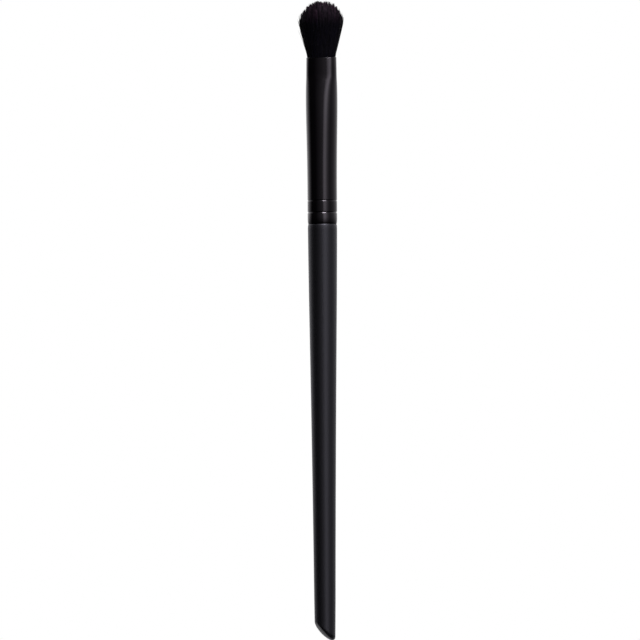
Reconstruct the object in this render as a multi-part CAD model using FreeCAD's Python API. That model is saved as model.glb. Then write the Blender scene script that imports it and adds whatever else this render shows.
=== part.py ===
import FreeCAD, Part
import math
import os

# An eyeshadow brush in millimetres, upright: +Z runs from the tail of the handle to the hair.
# The origin is on the axis, in the plane where the ferrule sits on the handle's shoulder.
# The broad cheeks of the ferrule and of the hair face -Y, the front, and +Y, the back.

# Ferrule: a drawn aluminium tube, round over the handle and pinched to an oval round the hair
ferrule_length = 47.2
wall = 0.25
collar_diameter = 8.34
collar_length = 11.0
mouth_width = 8.4
mouth_depth = 5.3
pinch_length = 5.9
pinch_widening = 0.1
tube_swell = 0.32
taper_strips = 12
squeeze_power = 8.5
swell_power = 3
cheek_angle = 22.0
lip_bevel_share = 0.35

# Crimp grooves rolled into the collar, which press it onto the handle's spigot
first_crimp = 3.2
crimp_spacing = 3.4
crimp_count = 2
crimp_width = 0.7

# Handle: turned wood under a soft black lacquer, with a spigot inside the ferrule and a slanted tail
handle_length = 118.0
tail_diameter = 5.66
shoulder_inset = 0.03
shoulder_bevel = 0.12
spigot_length = 13.0
spigot_chamfer = 0.9
tail_slope = 44.5
tail_turn = 33.0
tail_crown = 0.75
tail_rounding = 0.65

# Glue: a film round the spigot, and a plug that was poured behind the hair
glue_gap = 0.2
plug_depth = 6.0

# Hair: a tuft with a domed end, its root set in the ferrule and its butt tied with thread
tuft_width = 12.2
tuft_length = 15.8
tuft_belly_height = 9.75
root_depth = 13.0
flank_power = 1.2
flank_strips = 6
dome_strips = 8
thread_diameter = 0.25
tie_height = 2.4
tie_above_butt = 1.0

seat_clearance = 0.03
overrun = 4.0

UP = FreeCAD.Vector(0, 0, 1)
ORIGIN = FreeCAD.Vector(0, 0, 0)


def between(low, high, share):
    return low + (high - low) * share


def at(radius, height):
    """A point of a turned profile, drawn behind the axis so that seams lie at the back."""
    return FreeCAD.Vector(0, radius, height)


def line(start, end):
    return Part.LineSegment(start, end).toShape()


def turned(edges):
    """A solid of revolution about the brush's axis, from the closed outline of half its section."""
    return Part.Face(Part.Wire(edges)).revolve(ORIGIN, UP, 360)


def slab(bottom, top):
    """A block between two heights that reaches past every part of the brush sideways."""
    side = tuft_width + collar_diameter + overrun
    corner = FreeCAD.Vector(-side / 2, -side / 2, bottom)
    return Part.makeBox(side, side, top - bottom, corner)


def crimped_side(radius, bottom, top):
    """A straight side from bottom to top that dips at each crimp groove, until the tube meets the spigot."""
    edges = []
    crimp_depth = glue_gap - seat_clearance
    start = at(radius, bottom)
    for crimp in range(crimp_count):
        middle = first_crimp + crimp * crimp_spacing
        lower = at(radius, middle - crimp_width / 2)
        upper = at(radius, middle + crimp_width / 2)
        bottom_of_groove = at(radius - crimp_depth, middle)
        edges.append(line(start, lower))
        edges.append(line(lower, bottom_of_groove))
        edges.append(line(bottom_of_groove, upper))
        start = upper
    edges.append(line(start, at(radius, top)))
    return edges


def oval(width, depth, height):
    """A four-arc outline: two flatter cheeks and two round ends, or a circle if width equals depth."""
    turn = math.radians(cheek_angle)
    spread = (width - depth) / 2 / (math.sin(turn) + math.cos(turn) - 1)
    end_radius = width / 2 - spread * math.sin(turn)
    across = width / 2 - end_radius + end_radius * math.sin(turn)
    along = end_radius * math.cos(turn)
    corners = [(-across, -along), (across, -along), (across, along), (-across, along)]
    middles = [(0, -depth / 2), (width / 2, 0), (0, depth / 2), (-width / 2, 0)]
    points = [FreeCAD.Vector(x, y, height) for x, y in corners]
    edges = []
    for side in range(4):
        middle = FreeCAD.Vector(*middles[side], height)
        edges.append(Part.Arc(points[side], middle, points[(side + 1) % 4]).toShape())
    return Part.Wire(edges)


def taper_section(share):
    """Height, width and depth of the ferrule some way from the collar, at 0, to the pinch, at 1.

    The depth closes late, and the width swells a little before it is drawn in.
    """
    peak = swell_power / (swell_power + 1)
    swell = share ** swell_power * (1 - share) / (peak ** swell_power * (1 - peak))
    height = between(collar_length, ferrule_length - pinch_length, share)
    width = between(collar_diameter, mouth_width + pinch_widening, share) + tube_swell * swell
    depth = between(collar_diameter, mouth_depth + pinch_widening, share ** squeeze_power)
    return height, width, depth


def tapered_tube(inset):
    """The ferrule above its collar as a solid, drawn in from its outside by the inset.

    Its strips get shorter towards the pinch, where the tube bends most.
    """

    def outline(height, width, depth):
        return oval(width - 2 * inset, depth - 2 * inset, height)

    shares = [math.sin(math.pi / 2 * strip / taper_strips) for strip in range(taper_strips + 1)]
    sections = [outline(*taper_section(share)) for share in shares]
    mouth = outline(ferrule_length, mouth_width, mouth_depth)
    return Part.makeLoft([*sections, mouth], True, True)


def make_ferrule():
    """Collar with its rolled grooves, taper and pinched mouth, all of one wall thickness."""
    outer = crimped_side(collar_diameter / 2, 0, collar_length)
    inner = crimped_side(collar_diameter / 2 - wall, 0, collar_length)
    bottom_edge = line(at(collar_diameter / 2 - wall, 0), at(collar_diameter / 2, 0))
    top_edge = line(at(collar_diameter / 2, collar_length), at(collar_diameter / 2 - wall, collar_length))
    collar = turned([bottom_edge, *outer, top_edge, *reversed(inner)])
    tube = collar.fuse(tapered_tube(0).cut(tapered_tube(wall))).removeSplitter()
    lip = [edge for edge in tube.Edges if edge.BoundBox.ZMin > ferrule_length - wall]
    return tube.makeChamfer(wall * lip_bevel_share, lip)


def tail_cutter():
    """What is sawn and sanded off the tail: a block whose upper side is the crowned, slanted end."""
    slope = math.radians(tail_slope)
    half_chord = tail_diameter / 2 / math.cos(slope)
    crown_radius = (half_chord ** 2 + tail_crown ** 2) / (2 * tail_crown)
    middle = FreeCAD.Vector(0, 0, tail_diameter / 2 * math.tan(slope) - handle_length)
    inward = FreeCAD.Vector(math.sin(slope), 0, math.cos(slope))
    centre = middle + inward * (crown_radius - tail_crown)
    crown = Part.makeSphere(crown_radius, centre)
    cutter = slab(-handle_length - overrun, centre.z).cut(crown)
    return cutter.rotate(ORIGIN, UP, tail_turn)


def make_handle():
    """One turned piece: spigot, shoulder and slowly tapering side, then cut aslant at the tail."""
    shoulder_radius = collar_diameter / 2 - shoulder_inset
    spigot_radius = collar_diameter / 2 - wall - glue_gap
    nose_height = spigot_length - spigot_chamfer
    tail = at(tail_diameter / 2, -handle_length)
    shoulder = at(shoulder_radius, 0)
    outline = [
        line(at(0, spigot_length), at(0, -handle_length)),
        line(at(0, -handle_length), tail),
        line(tail, shoulder),
        line(shoulder, at(spigot_radius, 0)),
        line(at(spigot_radius, 0), at(spigot_radius, nose_height)),
        line(at(spigot_radius, nose_height), at(spigot_radius - spigot_chamfer / 2, spigot_length)),
        line(at(spigot_radius - spigot_chamfer / 2, spigot_length), at(0, spigot_length)),
    ]
    blank = turned(outline)
    rim = [
        edge
        for edge in blank.Edges
        if edge.BoundBox.ZLength < seat_clearance and edge.BoundBox.XMax > shoulder_radius - seat_clearance
    ]
    body = blank.makeChamfer(shoulder_bevel, rim).cut(tail_cutter())
    slant = [face for face in body.Faces if isinstance(face.Surface, Part.Sphere)][0]
    return body.makeFillet(tail_rounding, slant.Edges)


def make_glue_film():
    """Set glue between the spigot and the collar, above the crimps, which press the tube to the wood."""
    outer_radius = collar_diameter / 2 - wall - seat_clearance
    inner_radius = outer_radius - glue_gap + 2 * seat_clearance
    bottom = first_crimp + (crimp_count - 1) * crimp_spacing + crimp_width / 2
    top = spigot_length - spigot_chamfer
    corners = [
        at(inner_radius, bottom),
        at(outer_radius, bottom),
        at(outer_radius, top),
        at(inner_radius, top),
    ]
    return turned([line(corners[side - 1], corners[side]) for side in range(4)])


def inside_ferrule(bottom, top):
    """The space inside the ferrule between two heights, clear of its wall by the seat clearance."""
    return tapered_tube(wall + seat_clearance).common(slab(bottom, top))


def tied_butt(growth, bottom, top):
    """The hidden end of the tuft, drawn in by its tie, between two heights above its lower face."""
    room = wall + 2 * seat_clearance + thread_diameter
    width = mouth_width - 2 * room + 2 * growth
    depth = mouth_depth - 2 * room + 2 * growth
    butt = ferrule_length - root_depth
    return Part.Face(oval(width, depth, butt + bottom)).extrude(UP * (top - bottom))


def tuft_head():
    """The free hair: it flares from the ferrule's mouth to a belly and closes in a round dome."""
    neck_width = mouth_width - 2 * (wall + seat_clearance)
    thin_share = (mouth_depth - 2 * (wall + seat_clearance)) / neck_width
    sections = []
    for strip in range(flank_strips + 1):
        share = strip / flank_strips
        width = between(tuft_width, neck_width, (1 - share) ** flank_power)
        sections.append((width, tuft_belly_height * share))
    for strip in range(1, dome_strips):
        turn = math.pi / 2 * strip / dome_strips
        height = between(tuft_belly_height, tuft_length, math.sin(turn))
        sections.append((tuft_width * math.cos(turn), height))
    outlines = [oval(width, width * thin_share, ferrule_length + height) for width, height in sections]
    tip = Part.Vertex(FreeCAD.Vector(0, 0, ferrule_length + tuft_length))
    return Part.makeLoft([*outlines, tip], True, True)


def make_tuft():
    """The hair: its tied butt, the stretch that fills the ferrule's pinched mouth, and the free head."""
    butt = tied_butt(0, 0, root_depth - pinch_length)
    throat = inside_ferrule(ferrule_length - pinch_length, ferrule_length)
    return butt.fuse(throat).fuse(tuft_head()).removeSplitter()


def make_tie_thread():
    """The band of thread wound round the butt of the tuft before it is set."""
    tie_top = tie_above_butt + tie_height
    outside = tied_butt(seat_clearance + thread_diameter, tie_above_butt, tie_top)
    return outside.cut(tied_butt(seat_clearance, tie_above_butt, tie_top))


def make_glue_plug():
    """Resin poured in behind the hair, filling the tube below the butt of the tuft."""
    butt_height = ferrule_length - root_depth
    return inside_ferrule(butt_height - plug_depth, butt_height)


os.makedirs("parts", exist_ok=True)
pieces = {
    "handle": make_handle(),
    "ferrule": make_ferrule(),
    "bristle_tuft": make_tuft(),
    "tuft_tie_thread": make_tie_thread(),
    "tuft_glue_plug": make_glue_plug(),
    "spigot_glue_film": make_glue_film(),
}
for name, shape in pieces.items():
    shape.exportStep(f"parts/{name}.step")
    print(name, len(shape.Solids), "solid", shape.isValid(), round(shape.Volume, 3), "cubic mm")
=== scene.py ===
import math
import random

import bmesh
import bpy
from mathutils import Matrix, Vector


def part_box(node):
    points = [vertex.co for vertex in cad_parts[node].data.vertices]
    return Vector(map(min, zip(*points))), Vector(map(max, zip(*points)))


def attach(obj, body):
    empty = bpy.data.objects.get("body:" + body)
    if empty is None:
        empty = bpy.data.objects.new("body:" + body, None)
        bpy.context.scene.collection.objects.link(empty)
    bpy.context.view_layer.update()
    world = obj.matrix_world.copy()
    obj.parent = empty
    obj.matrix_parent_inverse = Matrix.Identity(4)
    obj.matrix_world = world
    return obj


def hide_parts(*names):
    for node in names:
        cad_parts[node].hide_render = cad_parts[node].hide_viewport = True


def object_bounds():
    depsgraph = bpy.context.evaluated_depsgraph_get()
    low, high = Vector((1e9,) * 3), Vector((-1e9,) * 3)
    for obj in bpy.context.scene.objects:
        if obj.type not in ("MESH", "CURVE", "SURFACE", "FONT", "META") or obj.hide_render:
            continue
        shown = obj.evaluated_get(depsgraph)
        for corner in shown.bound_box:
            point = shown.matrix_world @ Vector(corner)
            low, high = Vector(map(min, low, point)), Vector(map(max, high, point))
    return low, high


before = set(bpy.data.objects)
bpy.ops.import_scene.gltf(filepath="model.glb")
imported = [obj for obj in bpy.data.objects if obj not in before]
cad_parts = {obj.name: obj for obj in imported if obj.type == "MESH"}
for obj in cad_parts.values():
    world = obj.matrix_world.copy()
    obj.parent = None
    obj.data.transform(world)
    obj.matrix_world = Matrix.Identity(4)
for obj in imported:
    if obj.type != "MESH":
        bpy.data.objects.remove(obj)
cad_low, cad_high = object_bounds()

# The handle: a rod of turned wood under a soft black lacquer, its tail cut aslant and sanded round.
# Its upper end is a bare wooden spigot, glued and crimped into the ferrule.
handle_sides = 96
# Heights and radii of the rod: its side from below the tail, the rounded shoulder and the spigot
handle_rings = [
    (-0.1200, 0.002845),
    (-0.1060, 0.003030),
    (-0.0920, 0.003135),
    (-0.0780, 0.003260),
    (-0.0640, 0.003405),
    (-0.0500, 0.003560),
    (-0.0350, 0.003755),
    (-0.0210, 0.003945),
    (-0.0070, 0.004085),
    (-0.0016, 0.004126),
    (-0.0012, 0.004122),
    (-0.0008, 0.004108),
    (-0.0005, 0.004085),
    (-0.00028, 0.004050),
    (-0.00012, 0.004000),
    (0.0, 0.003900),
    (0.0, 0.003720),
    (0.0121, 0.003720),
    (0.0130, 0.003270),
]
tail_radius = 0.00283
tail_point = -0.1180
tail_slope = math.radians(44.5)
tail_turn = math.radians(33.0)
tail_crown = 0.00075
tail_rounding = 0.00100
tail_rim_segments = 6
crown_shrinks = (0.5, 0.6, 0.4)
cut_facing_match = 0.999
cut_plane_slack = 1e-6
handle_sharp_angle = math.radians(35)


def start_ring(name, sides, radius, height):
    """A new piece that starts as one ring of edges round the brush's axis, left in edit mode."""
    bpy.ops.object.select_all(action="DESELECT")
    bpy.ops.mesh.primitive_circle_add(vertices=sides, radius=radius, location=(0, 0, height))
    piece = bpy.context.object
    piece.name = name
    bpy.ops.object.transform_apply(location=True, rotation=True, scale=True)
    bpy.ops.object.mode_set(mode="EDIT")
    bpy.ops.mesh.select_mode(type="EDGE")
    bpy.ops.mesh.select_all(action="SELECT")
    return piece


def extrude_rings(rings):
    """Draws the selected ring on through the rest of a profile of heights and radii."""
    for (last_height, last_radius), (height, radius) in zip(rings, rings[1:]):
        growth = radius / last_radius
        bpy.ops.mesh.extrude_region_move(TRANSFORM_OT_translate={"value": (0, 0, height - last_height)})
        bpy.ops.transform.resize(value=(growth, growth, 1), center_override=(0, 0, height))


def apply_modifier(piece, kind, **settings):
    """Adds one modifier with its settings and applies it."""
    modifier = piece.modifiers.new(kind.title(), kind)
    for name, value in settings.items():
        setattr(modifier, name, value)
    bpy.ops.object.modifier_apply(modifier=modifier.name)


handle = start_ring("lacquered_handle", handle_sides, handle_rings[0][1], handle_rings[0][0])
extrude_rings(handle_rings)
bpy.ops.mesh.edge_face_add()
bpy.ops.mesh.select_all(action="SELECT")
bpy.ops.mesh.normals_make_consistent(inside=False)

tail_facing = -Vector((
    math.sin(tail_slope) * math.cos(tail_turn),
    math.sin(tail_slope) * math.sin(tail_turn),
    math.cos(tail_slope),
))
tail_middle = Vector((0, 0, tail_point + tail_radius * math.tan(tail_slope)))
bpy.ops.mesh.bisect(plane_co=tail_middle, plane_no=tail_facing, use_fill=True, clear_outer=True)
bpy.ops.mesh.select_mode(type="FACE")
bpy.ops.mesh.select_all(action="DESELECT")
handle_mesh = bmesh.from_edit_mesh(handle.data)
for face in handle_mesh.faces:
    face.select = face.normal.dot(tail_facing) > cut_facing_match
for shrink in crown_shrinks:
    bpy.ops.mesh.extrude_region_move()
    bpy.ops.transform.resize(value=(shrink, shrink, shrink), center_override=tail_middle)
bpy.ops.mesh.select_mode(type="EDGE")

half_chord = tail_radius / math.cos(tail_slope)
crown_radius = (half_chord ** 2 + tail_crown ** 2) / (2 * tail_crown)
crown_middle = tail_middle - tail_facing * (crown_radius - tail_crown)
handle_mesh = bmesh.from_edit_mesh(handle.data)
weights = handle_mesh.edges.layers.float.new("bevel_weight_edge")
crowned = {
    corner
    for corner in handle_mesh.verts
    if abs((corner.co - tail_middle).dot(tail_facing)) < cut_plane_slack
}
for corner in crowned:
    across = (corner.co.xy - crown_middle.xy).length
    corner.co.z = crown_middle.z - math.sqrt(crown_radius ** 2 - across ** 2)
handle_mesh.normal_update()
rim = [
    edge
    for edge in handle_mesh.edges
    if crowned.issuperset(edge.verts) and not all(crowned.issuperset(face.verts) for face in edge.link_faces)
]
rim_reach = {edge: math.tan(edge.calc_face_angle() / 2) for edge in rim}
longest_reach = max(rim_reach.values())
for edge, reach in rim_reach.items():
    edge[weights] = reach / longest_reach
bmesh.update_edit_mesh(handle.data)
bpy.ops.object.mode_set(mode="OBJECT")
apply_modifier(
    handle, "BEVEL", limit_method="WEIGHT", width=tail_rounding * longest_reach, segments=tail_rim_segments,
    use_clamp_overlap=False,
)
bpy.ops.object.shade_smooth_by_angle(angle=handle_sharp_angle)
apply_modifier(handle, "WEIGHTED_NORMAL", keep_sharp=True)


def feed(tree, node, inputs):
    """Links each input of a node to the socket that it is given, or else sets it to the value."""
    for name, value in inputs.items():
        if isinstance(value, bpy.types.NodeSocket):
            tree.links.new(value, node.inputs[name])
        else:
            node.inputs[name].default_value = value


def add_node(tree, kind, inputs=None, **settings):
    """A shader node with its settings and its inputs."""
    node = tree.nodes.new("ShaderNode" + kind)
    for name, value in settings.items():
        setattr(node, name, value)
    feed(tree, node, inputs or {})
    return node


def start_material(name):
    """A material with its node tree, its Principled shader and the object's own coordinates."""
    material = bpy.data.materials.new(name)
    material.use_nodes = True
    tree = material.node_tree
    place = add_node(tree, "TexCoord").outputs["Object"]
    return material, tree, tree.nodes["Principled BSDF"], place


def ramp(tree, factor, stops):
    """A colour that runs through the stops as the factor rises."""
    node = add_node(tree, "ValToRGB", {"Fac": factor})
    elements = node.color_ramp.elements
    while len(elements) < len(stops):
        elements.new(0.5)
    for element, (position, colour) in zip(elements, stops):
        element.position = position
        element.color = (*colour, 1.0)
    return node.outputs["Color"]


def map_range(tree, value, low=0.0, high=1.0, to_low=0.0, to_high=1.0):
    """A value carried from one range to another and held at its ends."""
    node = add_node(tree, "MapRange", {
        "Value": value, "From Min": low, "From Max": high, "To Min": to_low, "To Max": to_high,
    })
    return node.outputs["Result"]


def mix_colours(tree, factor, first, second, blend="MIX"):
    """The second colour blended into the first by a factor."""
    node = add_node(tree, "Mix", {0: factor, 6: first, 7: second}, data_type="RGBA", blend_type=blend)
    return node.outputs[2]


def relief(tree, height, strength, distance):
    """The normal of a surface with a fine relief."""
    node = add_node(tree, "Bump", {"Height": height, "Strength": strength, "Distance": distance})
    return node.outputs["Normal"]


def start_group(name, inputs, outputs):
    """A new node group with its named sockets, and the sockets of its two ends inside it."""
    group = bpy.data.node_groups.new(name, "ShaderNodeTree")
    for direction, sockets in (("INPUT", inputs), ("OUTPUT", outputs)):
        for socket_name, kind in sockets.items():
            group.interface.new_socket(socket_name, in_out=direction, socket_type="NodeSocket" + kind)
    entry = group.nodes.new("NodeGroupInput").outputs
    leaving = group.nodes.new("NodeGroupOutput").inputs
    return group, entry, leaving


def place_group(tree, group, inputs):
    """The outputs of a node group that is placed in a material with its own values."""
    node = tree.nodes.new("ShaderNodeGroup")
    node.node_tree = group
    feed(tree, node, inputs)
    return node.outputs


# Small faults of a coat that was dipped or sprayed: a fine orange peel and broad soft waves.
coat_faults, entry, leaving = start_group(
    "coat_faults",
    {"Vector": "Vector", "Peel Scale": "Float", "Wave Scale": "Float"},
    {"Peel": "Float", "Wave": "Float"},
)
for fault, detail in (("Peel", 3.0), ("Wave", 1.0)):
    noise = add_node(coat_faults, "TexNoise", {
        "Vector": entry["Vector"], "Scale": entry[fault + " Scale"], "Detail": detail,
    })
    coat_faults.links.new(noise.outputs["Fac"], leaving[fault])

# Streaks that run along the brush, as the grain of its wood and its hair do.
streaks, entry, leaving = start_group(
    "lengthwise_streaks",
    {"Vector": "Vector", "Stretch": "Vector", "Scale": "Float", "Detail": "Float"},
    {"Streak": "Float"},
)
lengthwise = add_node(streaks, "Mapping", {"Vector": entry["Vector"], "Scale": entry["Stretch"]})
noise = add_node(streaks, "TexNoise", {
    "Vector": lengthwise.outputs["Vector"], "Scale": entry["Scale"], "Detail": entry["Detail"],
})
streaks.links.new(noise.outputs["Fac"], leaving["Streak"])

lacquer_black = [(0.3, (0.0008, 0.0008, 0.0011)), (0.7, (0.0012, 0.0012, 0.0016))]
bare_wood = [(0.35, (0.42, 0.26, 0.13)), (0.65, (0.58, 0.40, 0.23))]
lacquer_edge = 0.00002
bare_wood_roughness = 0.75
lacquer, tree, shader, place = start_material("soft_black_lacquer")
faults = place_group(tree, coat_faults, {"Vector": place, "Peel Scale": 2600.0, "Wave Scale": 160.0})
grain = place_group(tree, streaks, {
    "Vector": place, "Stretch": (1.0, 1.0, 0.04), "Scale": 2200.0, "Detail": 4.0,
})
height = add_node(tree, "SeparateXYZ", {"Vector": place}).outputs["Z"]
bare = map_range(tree, height, high=lacquer_edge)
black = ramp(tree, faults["Wave"], lacquer_black)
wood = ramp(tree, grain["Streak"], bare_wood)
sheen = map_range(tree, faults["Peel"], to_low=0.40, to_high=0.46)
feed(tree, shader, {
    "Base Color": mix_colours(tree, bare, black, wood),
    "Roughness": map_range(tree, bare, to_low=sheen, to_high=bare_wood_roughness),
    "Normal": relief(tree, faults["Peel"], strength=0.12, distance=0.00002),
    "Specular Tint": (0.86, 0.83, 1.0, 1.0),
    "Specular IOR Level": 0.73,
})
handle.data.materials.append(lacquer)
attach(handle, "root")
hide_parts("handle")

# The glues: clear amber resin, brushed on the spigot as a film and poured behind the hair as a plug.
# Both are hidden inside the ferrule, so they keep their CAD shapes and are only given their resin.
resin_amber = [(0.3, (0.50, 0.36, 0.17)), (0.7, (0.70, 0.57, 0.36))]
resin, tree, shader, place = start_material("amber_resin")
faults = place_group(tree, coat_faults, {"Vector": place, "Peel Scale": 1500.0, "Wave Scale": 420.0})
feed(tree, shader, {
    "Base Color": ramp(tree, faults["Wave"], resin_amber),
    "Roughness": map_range(tree, faults["Peel"], to_low=0.12, to_high=0.32),
    "Normal": relief(tree, faults["Wave"], strength=0.3, distance=0.00005),
})
for node_name in ("spigot_glue_film", "tuft_glue_plug"):
    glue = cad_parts[node_name]
    glue.data.materials.clear()
    glue.data.materials.append(resin)

# The ferrule: a thin aluminium tube, drawn round, blacked and polished, then pinched round the hair.
# Two crimp grooves, rolled in over the spigot, hold it on the handle.
ferrule_sides = 128
ferrule_length = 0.0472
ferrule_wall = 0.00025
ferrule_sharp_angle = math.radians(50)
collar_radius = 0.00417
collar_length = 0.0110
# Heights and insets of the collar's lower edge, which is drawn in a little
collar_edge = [(0.0, 0.00014), (0.00012, 0.00010), (0.0004, 0.00005), (0.0008, 0.000018), (0.0013, 0.0)]
# Height and depth of each crimp groove, and how far it reaches below its middle
crimps = [(0.0033, 0.00017, 0.00043), (0.0066, 0.00012, 0.00033)]
crimp_above = 0.00020
crimp_steps = 4
crease_height = 0.0413
crease_size = (0.00874, 0.0054)
crease_softness = 0.0007
softness_steps = 4
crease_ring_spacing = 0.0002
crease_ring_count = 7
taper_length = crease_height - collar_length
taper_steps = 32
tube_swell = 0.00032
swell_power = 3
squeeze_power = 8.5
cheek_angle = math.radians(22.0)
mouth_size = (0.0086, 0.0053)
upper_pinch_height = 0.0440
lip_drop, lip_dip = 0.00018, 0.00025
lip_rounding = 0.00018

collar_rings = [(height, collar_radius - inset) for height, inset in collar_edge]
for crimp_height, crimp_depth, crimp_below in crimps:
    for step in range(-crimp_steps, crimp_steps + 1):
        dip = crimp_depth * (1 + math.cos(math.pi * step / crimp_steps)) / 2
        reach = crimp_below if step < 0 else crimp_above
        collar_rings.append((crimp_height + reach * step / crimp_steps, collar_radius - dip))
taper_heights = [
    collar_length + taper_length * math.sin(math.pi / 2 * step / taper_steps) for step in range(taper_steps)
]
pinch_heights = [crease_height + crease_ring_spacing * step for step in range(crease_ring_count)]
pinch_heights += [upper_pinch_height, ferrule_length - lip_rounding]
body_rings = [(height, collar_radius) for height in taper_heights + pinch_heights]
lip_rings = []
for turn in (math.radians(30), math.radians(60), math.radians(90)):
    lip_height = ferrule_length - lip_rounding * (1 - math.sin(turn))
    lip_rings.append((lip_height, collar_radius - lip_rounding * (1 - math.cos(turn))))
outside = collar_rings + body_rings + lip_rings
inside = [(height, radius - ferrule_wall) for height, radius in reversed(collar_rings + body_rings)]


def oval_point(size, inset, turn):
    """Where the outline of two flat cheeks and two round ends faces a turn from the front."""
    width, depth = size
    spread = (width - depth) / 2 / (math.sin(cheek_angle) + math.cos(cheek_angle) - 1)
    end_radius = width / 2 - spread * math.sin(cheek_angle) - inset
    facing = Vector((math.sin(turn), -math.cos(turn)))
    if abs(facing.x) < math.sin(cheek_angle):
        middle = Vector((0, -math.copysign(spread * math.cos(cheek_angle), facing.y)))
        return middle + facing * (end_radius + spread)
    middle = Vector((math.copysign(spread * math.sin(cheek_angle), facing.x), 0))
    return middle + facing * end_radius


def pinched_size(height):
    """Width and depth of a pinched tube: the depth closes late, and the width swells a little first."""
    share = max(0.0, min(1.0, (height - collar_length) / taper_length))
    peak = swell_power / (swell_power + 1)
    swell = share ** swell_power * (1 - share) / (peak ** swell_power * (1 - peak))
    round_size = 2 * collar_radius
    width = round_size + (crease_size[0] - round_size) * share + tube_swell * swell
    depth = round_size + (crease_size[1] - round_size) * share ** squeeze_power
    closing = max(0.0, (height - crease_height) / (ferrule_length - crease_height))
    return Vector((
        width + (mouth_size[0] - crease_size[0]) * closing,
        depth + (mouth_size[1] - crease_size[1]) * closing,
    ))


def ferrule_size(height):
    """Width and depth of the tube, averaged over a short length so that its crease is soft."""
    steps = [crease_softness * step / softness_steps for step in range(-softness_steps, softness_steps + 1)]
    return sum((pinched_size(height + step) for step in steps), Vector((0, 0))) / len(steps)


ferrule = start_ring("pinched_ferrule", ferrule_sides, outside[0][1], outside[0][0])
extrude_rings(outside + inside)
bpy.ops.mesh.select_all(action="DESELECT")
ferrule_mesh = bmesh.from_edit_mesh(ferrule.data)
for edge in ferrule_mesh.edges:
    edge.select = edge.is_boundary
bpy.ops.mesh.bridge_edge_loops()
ferrule_mesh = bmesh.from_edit_mesh(ferrule.data)
for corner in ferrule_mesh.verts:
    inset = collar_radius - math.hypot(corner.co.x, corner.co.y)
    turn = math.atan2(corner.co.x, -corner.co.y)
    corner.co.xy = oval_point(ferrule_size(corner.co.z), inset, turn)
    pinched = max(0.0, (corner.co.z - crease_height) / (ferrule_length - crease_height))
    corner.co.z -= (lip_drop + lip_dip * math.cos(turn) ** 2) * pinched ** 2
bpy.ops.mesh.select_all(action="SELECT")
bpy.ops.mesh.normals_make_consistent(inside=False)
bpy.ops.object.mode_set(mode="OBJECT")
bpy.ops.object.shade_smooth_by_angle(angle=ferrule_sharp_angle)
apply_modifier(ferrule, "WEIGHTED_NORMAL", keep_sharp=True)

ferrule_black = [(0.3, (0.0004, 0.0002, 0.0005)), (0.7, (0.0007, 0.0004, 0.0008))]
blacked, tree, shader, place = start_material("polished_black_metal")
faults = place_group(tree, coat_faults, {"Vector": place, "Peel Scale": 3200.0, "Wave Scale": 260.0})
feed(tree, shader, {
    "Base Color": ramp(tree, faults["Wave"], ferrule_black),
    "Roughness": map_range(tree, faults["Peel"], to_low=0.13, to_high=0.20),
    "Normal": relief(tree, faults["Wave"], strength=0.25, distance=0.00004),
    "Specular Tint": (0.96, 0.87, 1.0, 1.0),
})
ferrule.data.materials.append(blacked)
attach(ferrule, "root")
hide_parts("ferrule")

# The tie: cotton thread, wound tight round the butt of the tuft before it is glued into the ferrule.
# It is one helix of thread, hidden inside the tube.
thread_radius = 0.000125
tie_low, tie_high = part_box("tuft_tie_thread")
tie_size = (tie_high.x - tie_low.x, tie_high.y - tie_low.y)
tie_turns = (tie_high.z - tie_low.z) / (2 * thread_radius) - 1
points_a_turn = 48


def start_curve(name, radius, resolution):
    """A curve for round threads or hairs, with one radius and a few sides."""
    curve = bpy.data.curves.new(name, "CURVE")
    curve.dimensions = "3D"
    curve.bevel_depth = radius
    curve.bevel_resolution = resolution
    return curve


def curve_to_piece(name, curve):
    """A smooth mesh piece, made from a finished curve."""
    piece = bpy.data.objects.new(name, curve)
    bpy.context.collection.objects.link(piece)
    bpy.ops.object.select_all(action="DESELECT")
    bpy.context.view_layer.objects.active = piece
    piece.select_set(True)
    bpy.ops.object.convert(target="MESH")
    bpy.ops.object.shade_smooth()
    return piece


thread_curve = start_curve("tie_thread", thread_radius, resolution=1)
winding = thread_curve.splines.new("POLY")
winding.points.add(round(tie_turns * points_a_turn) - 1)
for number, point in enumerate(winding.points):
    turns = number / points_a_turn
    spot = oval_point(tie_size, thread_radius, 2 * math.pi * turns)
    point.co = (spot.x, spot.y, tie_low.z + thread_radius + turns * 2 * thread_radius, 1.0)
thread = curve_to_piece("tie_thread", thread_curve)

cotton_fibre = [(0.2, (0.36, 0.31, 0.24)), (0.8, (0.62, 0.57, 0.48))]
cotton, tree, shader, place = start_material("waxed_cotton")
twist = add_node(
    tree, "TexWave", {"Vector": place, "Scale": 2400.0, "Distortion": 2.0}, bands_direction="DIAGONAL",
).outputs["Fac"]
feed(tree, shader, {
    "Base Color": ramp(tree, twist, cotton_fibre),
    "Normal": relief(tree, twist, strength=0.5, distance=0.00003),
    "Roughness": 0.8,
})
thread.data.materials.append(cotton)
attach(thread, "root")
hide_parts("tuft_tie_thread")

# The tuft: thousands of fine black hairs, cupped to a dome, tied, and pulled through the ferrule's mouth.
# A packed core carries the locks of single hairs whose tapered tips make the soft outline.
tuft_belly = 0.0061
tuft_belly_height = ferrule_length + 0.00975
tuft_top = ferrule_length + 0.0158
tuft_butt = ferrule_length - 0.0130
tuft_height = tuft_top - ferrule_length
dome_height = tuft_top - tuft_belly_height
neck_size = (0.00784, 0.00474)
thinness = neck_size[1] / neck_size[0]
flank_power = 1.2
core_share = 0.86
core_root_radius = 0.00345
core_neck_radius = 0.0037
core_neck_height = ferrule_length - 0.0004
core_sides = 64
core_steps = 14
core_sharp_angle = math.radians(60)
shapes = random.Random(1)


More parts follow.
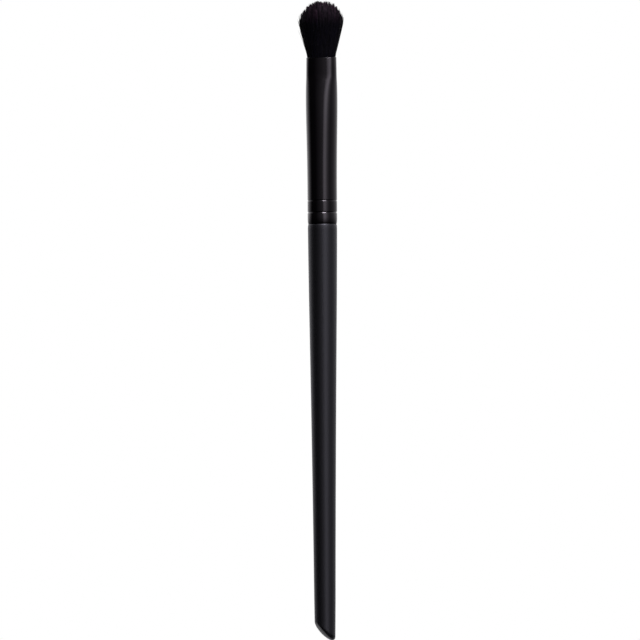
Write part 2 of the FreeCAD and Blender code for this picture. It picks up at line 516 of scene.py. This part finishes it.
def tuft_half_width(height):
    """Half the width of the whole tuft at a height: flaring from the mouth, then round over the belly."""
    if height < tuft_belly_height:
        share = max(0.0, (height - ferrule_length) / (tuft_belly_height - ferrule_length))
        return tuft_belly + (neck_size[0] / 2 - tuft_belly) * (1 - share) ** flank_power
    share = min(1.0, (height - tuft_belly_height) / dome_height)
    return tuft_belly * math.sqrt(1 - share ** 2)


core_rings = [
    (tuft_butt, core_root_radius),
    (crease_height, core_root_radius),
    (core_neck_height, core_neck_radius),
]
for step in range(1, core_steps + 1):
    rise = tuft_height * math.sin(math.pi / 2 * step / (core_steps + 0.5))
    half_width = tuft_half_width(ferrule_length + rise)
    core_rings.append((ferrule_length + core_share * rise, core_share * half_width))
core = start_ring("hair_core", core_sides, core_rings[0][1], core_rings[0][0])
bpy.ops.mesh.edge_face_add()
extrude_rings(core_rings)
bpy.ops.mesh.select_all(action="SELECT")
core_mesh = bmesh.from_edit_mesh(core.data)
for corner in core_mesh.verts:
    half_width = math.hypot(corner.co.x, corner.co.y)
    turn = math.atan2(corner.co.x, -corner.co.y)
    corner.co.xy = oval_point((2 * half_width, 2 * half_width * thinness), 0, turn)
bpy.ops.mesh.normals_make_consistent(inside=False)
bpy.ops.object.mode_set(mode="OBJECT")
bpy.ops.object.shade_smooth_by_angle(angle=core_sharp_angle)

packed_black = [(0.35, (0.0008, 0.0007, 0.0010)), (0.65, (0.0030, 0.0026, 0.0036))]
packed_hair, tree, shader, place = start_material("packed_black_hair")
strands = place_group(tree, streaks, {
    "Vector": place, "Stretch": (1.0, 1.0, 0.05), "Scale": 1500.0, "Detail": 3.0,
})
feed(tree, shader, {
    "Base Color": ramp(tree, strands["Streak"], packed_black),
    "Roughness": 0.8,
    "Specular IOR Level": 0.05,
})
core.data.materials.append(packed_hair)
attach(core, "root")
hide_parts("bristle_tuft")

# The locks: single hairs that cling together at their tips, with a few loose ones between them.
# Some hairs at the left bend outwards as strays, and those at the right edge stand a little higher.
hair_pieces = ("hair_locks_a", "hair_locks_b", "hair_locks_c")
hair_count = 9000
hair_points = 8
hair_radius = 0.000045
hair_root_height = ferrule_length - 0.0006
hair_spread = 1.01
hair_bend = 0.022
tip_thinning = 0.75
oval_power = 2.3
lock_tries = 3000
lock_spread = 1.06
lock_spacing = 0.00068
lock_unevenness = 0.00016
lock_crown = 0.0001
lock_taper = 2.2
gathering = (0.5, 0.92)
tip_unevenness = 0.0003
outermost_tip = 0.985
loose_share = 0.04
loose_shortening = (-0.0003, 0.0006)
stray_edge, stray_share = -0.7, 0.3
stray_bend = (0.0, 0.11)
stray_shortening = (0.0, 0.003)
shoulder_edge = 0.88
shoulder_lift = (0.0002, 0.0009)


def place_in_oval():
    """A random place in the tuft's section, in shares of its half width and half depth."""
    while True:
        across, along = shapes.uniform(-1, 1), shapes.uniform(-1, 1)
        if abs(across) ** oval_power + abs(along) ** oval_power < 1:
            return Vector((across, along))


half_size = Vector((tuft_belly, tuft_belly * thinness))
locks = []
for attempt in range(lock_tries):
    middle = lock_spread * place_in_oval()
    if all(((middle - lock) * half_size).length > lock_spacing for lock in locks):
        locks.append(middle)
lock_reach = [shapes.gauss(0, lock_unevenness) for lock in locks]


def add_hair(curve):
    """One hair from the ferrule's mouth to the dome, drawn towards the middle of its lock at the tip."""
    root = place_in_oval()
    lock = min(range(len(locks)), key=lambda number: ((locks[number] - root) * half_size).length)
    loose = shapes.random() < loose_share
    tip = root if loose else root.lerp(locks[lock], shapes.uniform(*gathering))
    inward = min(outermost_tip, tip.length)
    reach = tuft_belly_height + dome_height * math.sqrt(1 - inward ** 2)
    if loose:
        reach -= shapes.uniform(*loose_shortening)
    else:
        apart = ((tip - locks[lock]) * half_size).length
        reach += lock_reach[lock] + lock_crown - lock_taper * apart - abs(shapes.gauss(0, tip_unevenness))
    bend = Vector((shapes.gauss(0, hair_bend), shapes.gauss(0, hair_bend)))
    if root.x < stray_edge and shapes.random() < stray_share:
        bend.x -= shapes.uniform(*stray_bend)
        reach -= shapes.uniform(*stray_shortening)
    if root.x > shoulder_edge:
        reach += shapes.uniform(*shoulder_lift)
    spline = curve.splines.new("POLY")
    spline.points.add(hair_points - 1)
    for number, point in enumerate(spline.points):
        share = number / (hair_points - 1)
        height = hair_root_height + (reach - hair_root_height) * share
        half_width = hair_spread * tuft_half_width(min(height, tuft_belly_height))
        spot = root.lerp(tip, share ** 2) + bend * share ** 2
        point.co = (spot.x * half_width, spot.y * half_width * thinness, height, 1.0)
        point.radius = 1.0 - tip_thinning * share ** 3


def calculate(tree, operation, first, second):
    """The result of one sum on two values."""
    return add_node(tree, "Math", {0: first, 1: second}, operation=operation).outputs[0]


# Each hair is shaded partly by the facing of the whole tuft, as fine packed hair is.
hair_dark = [(0.40, (0.0002, 0.0002, 0.0006)), (0.62, (0.0020, 0.0018, 0.0050))]
hair_tips = [(0.42, (0.0012, 0.0005, 0.0010)), (0.60, (0.0400, 0.0130, 0.0290))]
tuft_facing_share = 0.85
lowest_facing = -0.2
loose_hair, tree, shader, place = start_material("loose_black_hair")
strand = place_group(tree, streaks, {
    "Vector": place, "Stretch": (1.0, 1.0, 0.05), "Scale": 2100.0, "Detail": 3.0,
})["Streak"]
from_belly = add_node(tree, "Mapping", {
    "Vector": place,
    "Location": (0.0, 0.0, -tuft_belly_height / tuft_belly),
    "Scale": (1 / tuft_belly, 1 / (tuft_belly * thinness), 1 / tuft_belly),
}).outputs["Vector"]
spot = add_node(tree, "SeparateXYZ", {"Vector": from_belly}).outputs
towards_tip = map_range(tree, spot["Z"], -0.15, 1.0)
dark = ramp(tree, strand, hair_dark)
tips = ramp(tree, strand, hair_tips)
deeper = calculate(tree, "MULTIPLY", spot["Y"], 1 / thinness)
higher = calculate(tree, "MAXIMUM", spot["Z"], lowest_facing)
outward = add_node(tree, "CombineXYZ", {"X": spot["X"], "Y": deeper, "Z": higher}).outputs["Vector"]
outward = add_node(
    tree, "VectorTransform", {"Vector": outward},
    vector_type="NORMAL", convert_from="OBJECT", convert_to="WORLD",
).outputs["Vector"]
own = add_node(tree, "NewGeometry").outputs["Normal"]
facing = add_node(tree, "Mix", {0: tuft_facing_share, 4: own, 5: outward}, data_type="VECTOR").outputs[1]
facing = add_node(tree, "VectorMath", {0: facing}, operation="NORMALIZE").outputs["Vector"]
strand_relief = add_node(tree, "Bump", {
    "Height": strand, "Normal": facing, "Strength": 0.7, "Distance": 0.0005,
})
feed(tree, shader, {
    "Base Color": mix_colours(tree, towards_tip, dark, tips),
    "Normal": strand_relief.outputs["Normal"],
    "Roughness": map_range(tree, strand, 0.35, 0.65, to_low=0.75, to_high=0.4),
    "Specular IOR Level": 0.13,
    "Sheen Weight": 0.08,
    "Sheen Roughness": 0.3,
    "Specular Tint": (0.88, 0.78, 1.0, 1.0),
})

for name in hair_pieces:
    hair_curve = start_curve(name, hair_radius, resolution=0)
    for number in range(hair_count // len(hair_pieces)):
        add_hair(hair_curve)
    hair = curve_to_piece(name, hair_curve)
    hair.data.materials.clear()
    hair.data.materials.append(loose_hair)
    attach(hair, "root")

# The studio: the brush hangs by its collar over a pale floor, in front of a white backdrop.
# The camera looks past one cheek of the oval, with a tall soft light at its right and a softbox above.
camera_turn = math.radians(14.0)
floor_height = cad_low.z - 0.08
floor_radius = 0.12
floor_sides = 96
floor_glow = 0.6
bpy.ops.object.select_all(action="DESELECT")
bpy.ops.mesh.primitive_circle_add(
    vertices=floor_sides, radius=floor_radius, fill_type="NGON", location=(0, 0, floor_height),
)
floor = bpy.context.object
floor.name = "studio_floor"
pale, tree, shader, place = start_material("pale_floor")
feed(tree, shader, {"Base Color": (0.8, 0.8, 0.8, 1.0), "Roughness": 0.9})
ray = add_node(tree, "LightPath").outputs
seen = calculate(tree, "MAXIMUM", ray["Is Camera Ray"], ray["Is Transmission Ray"])
glow = calculate(tree, "MULTIPLY", seen, floor_glow)
white = add_node(tree, "Emission", {"Color": (1.0, 1.0, 1.0, 1.0), "Strength": glow})
lit = add_node(tree, "AddShader", {0: shader.outputs["BSDF"], 1: white.outputs["Emission"]})
tree.links.new(lit.outputs["Shader"], tree.nodes["Material Output"].inputs["Surface"])
floor.data.materials.append(pale)
floor.visible_glossy = False

softbox_turn = camera_turn + math.radians(20.0)
softbox_tilt = math.radians(57.0)
softbox_distance = 0.8
softbox_size = 0.30
softbox_radiance = 18.0
away = Vector((
    math.sin(softbox_turn) * math.cos(softbox_tilt),
    -math.cos(softbox_turn) * math.cos(softbox_tilt),
    math.sin(softbox_tilt),
))
lamp = bpy.data.lights.new("key_softbox", "AREA")
lamp.shape = "RECTANGLE"
lamp.size, lamp.size_y = softbox_size, softbox_size
lamp.energy = softbox_radiance * math.pi * softbox_size * softbox_size
softbox = bpy.data.objects.new("key_softbox", lamp)
softbox.location = away * softbox_distance
softbox.rotation_euler = away.to_track_quat("Z", "Y").to_euler()
softbox.visible_camera = False
bpy.context.collection.objects.link(softbox)

# Shares of light round the set, from behind by way of the left, the front and the right to behind again
surround_stops = [
    (0.0, 1.0), (0.11, 1.0), (0.158, 0.72), (0.20, 0.36), (0.233, 0.08), (0.255, 0.015), (0.36, 0.02),
    (0.45, 0.14), (0.485, 0.23), (0.505, 0.18), (0.67, 0.155), (0.736, 0.25), (0.767, 0.32), (0.80, 0.46),
    (0.842, 0.58), (0.90, 0.66), (0.95, 1.0),
]
tall_light_stops = [
    (0.507, 0.0), (0.524, 0.62), (0.548, 1.0), (0.575, 0.80), (0.598, 0.36), (0.630, 0.12), (0.67, 0.0),
]
# Shares of light from below to above
rise_stops = [(0.15, 0.05), (0.42, 0.35), (0.50, 0.62), (0.58, 0.90), (0.78, 1.0)]
surround_strength = 1.6
tall_light_strength = 2.1
backdrop_strength = 1.0
low_sweep_share = 0.6


def grey_ramp(tree, factor, stops):
    """A grey that runs through the stops as the factor rises."""
    return ramp(tree, factor, [(position, (share, share, share)) for position, share in stops])


def add_background(tree, colour, strength):
    """A background shader of one colour and strength."""
    return add_node(tree, "Background", {"Color": colour, "Strength": strength}).outputs["Background"]


world = bpy.data.worlds.new("white_studio")
bpy.context.scene.world = world
world.use_nodes = True
tree = world.node_tree
tree.nodes.clear()
direction = add_node(tree, "TexCoord").outputs["Generated"]
from_camera = add_node(
    tree, "VectorRotate", {"Vector": direction, "Angle": -camera_turn}, rotation_type="Z_AXIS",
).outputs["Vector"]
towards = add_node(tree, "SeparateXYZ", {"Vector": from_camera}).outputs
front = calculate(tree, "MULTIPLY", towards["Y"], -1.0)
azimuth = calculate(tree, "ARCTAN2", towards["X"], front)
round_the_set = map_range(tree, azimuth, -math.pi, math.pi)
surround = grey_ramp(tree, round_the_set, surround_stops)
tall_light = grey_ramp(tree, round_the_set, tall_light_stops)
rise = grey_ramp(tree, map_range(tree, towards["Z"], -0.5, 0.5), rise_stops)
tall_light = mix_colours(tree, 1.0, tall_light, rise, "MULTIPLY")
surround = mix_colours(tree, 1.0, surround, rise, "MULTIPLY")
light = add_node(tree, "AddShader", {
    0: add_background(tree, surround, surround_strength),
    1: add_background(tree, tall_light, tall_light_strength),
}).outputs["Shader"]

# The backdrop is seen directly, and mirrored where it stands behind the brush and sweeps forward below.
behind = map_range(tree, towards["Y"], 0.80, 0.90)
sweep = map_range(tree, towards["Y"], 0.25, 0.65)
below = map_range(tree, towards["Z"], -0.15, -0.30)
below = calculate(tree, "MULTIPLY", below, low_sweep_share)
sweep = calculate(tree, "MULTIPLY", sweep, below)
behind = calculate(tree, "MAXIMUM", behind, sweep)
ray = add_node(tree, "LightPath").outputs
mirrored = calculate(tree, "MAXIMUM", ray["Is Glossy Ray"], ray["Is Transmission Ray"])
mirrored = calculate(tree, "MULTIPLY", mirrored, behind)
seen = calculate(tree, "MAXIMUM", ray["Is Camera Ray"], mirrored)
backdrop = add_background(tree, (1.0, 1.0, 1.0, 1.0), backdrop_strength)
surface = add_node(tree, "MixShader", {0: seen, 1: light, 2: backdrop}).outputs["Shader"]
add_node(tree, "OutputWorld", {"Surface": surface})

camera_distance = 1.00233
camera_side, camera_height = -0.00087, -0.02706
camera_roll = math.radians(0.38)
camera_place = Vector((camera_side, -camera_distance, camera_height))
camera_place.rotate(Matrix.Rotation(camera_turn, 3, "Z"))
bpy.ops.object.camera_add(location=camera_place, rotation=(math.radians(90), camera_roll, camera_turn))
camera = bpy.context.object
camera.name = "photo_camera"
camera.data.lens = 200.0
camera.data.sensor_width = 36.0
bpy.context.scene.camera = camera
bpy.context.scene.view_settings.view_transform = "Standard"
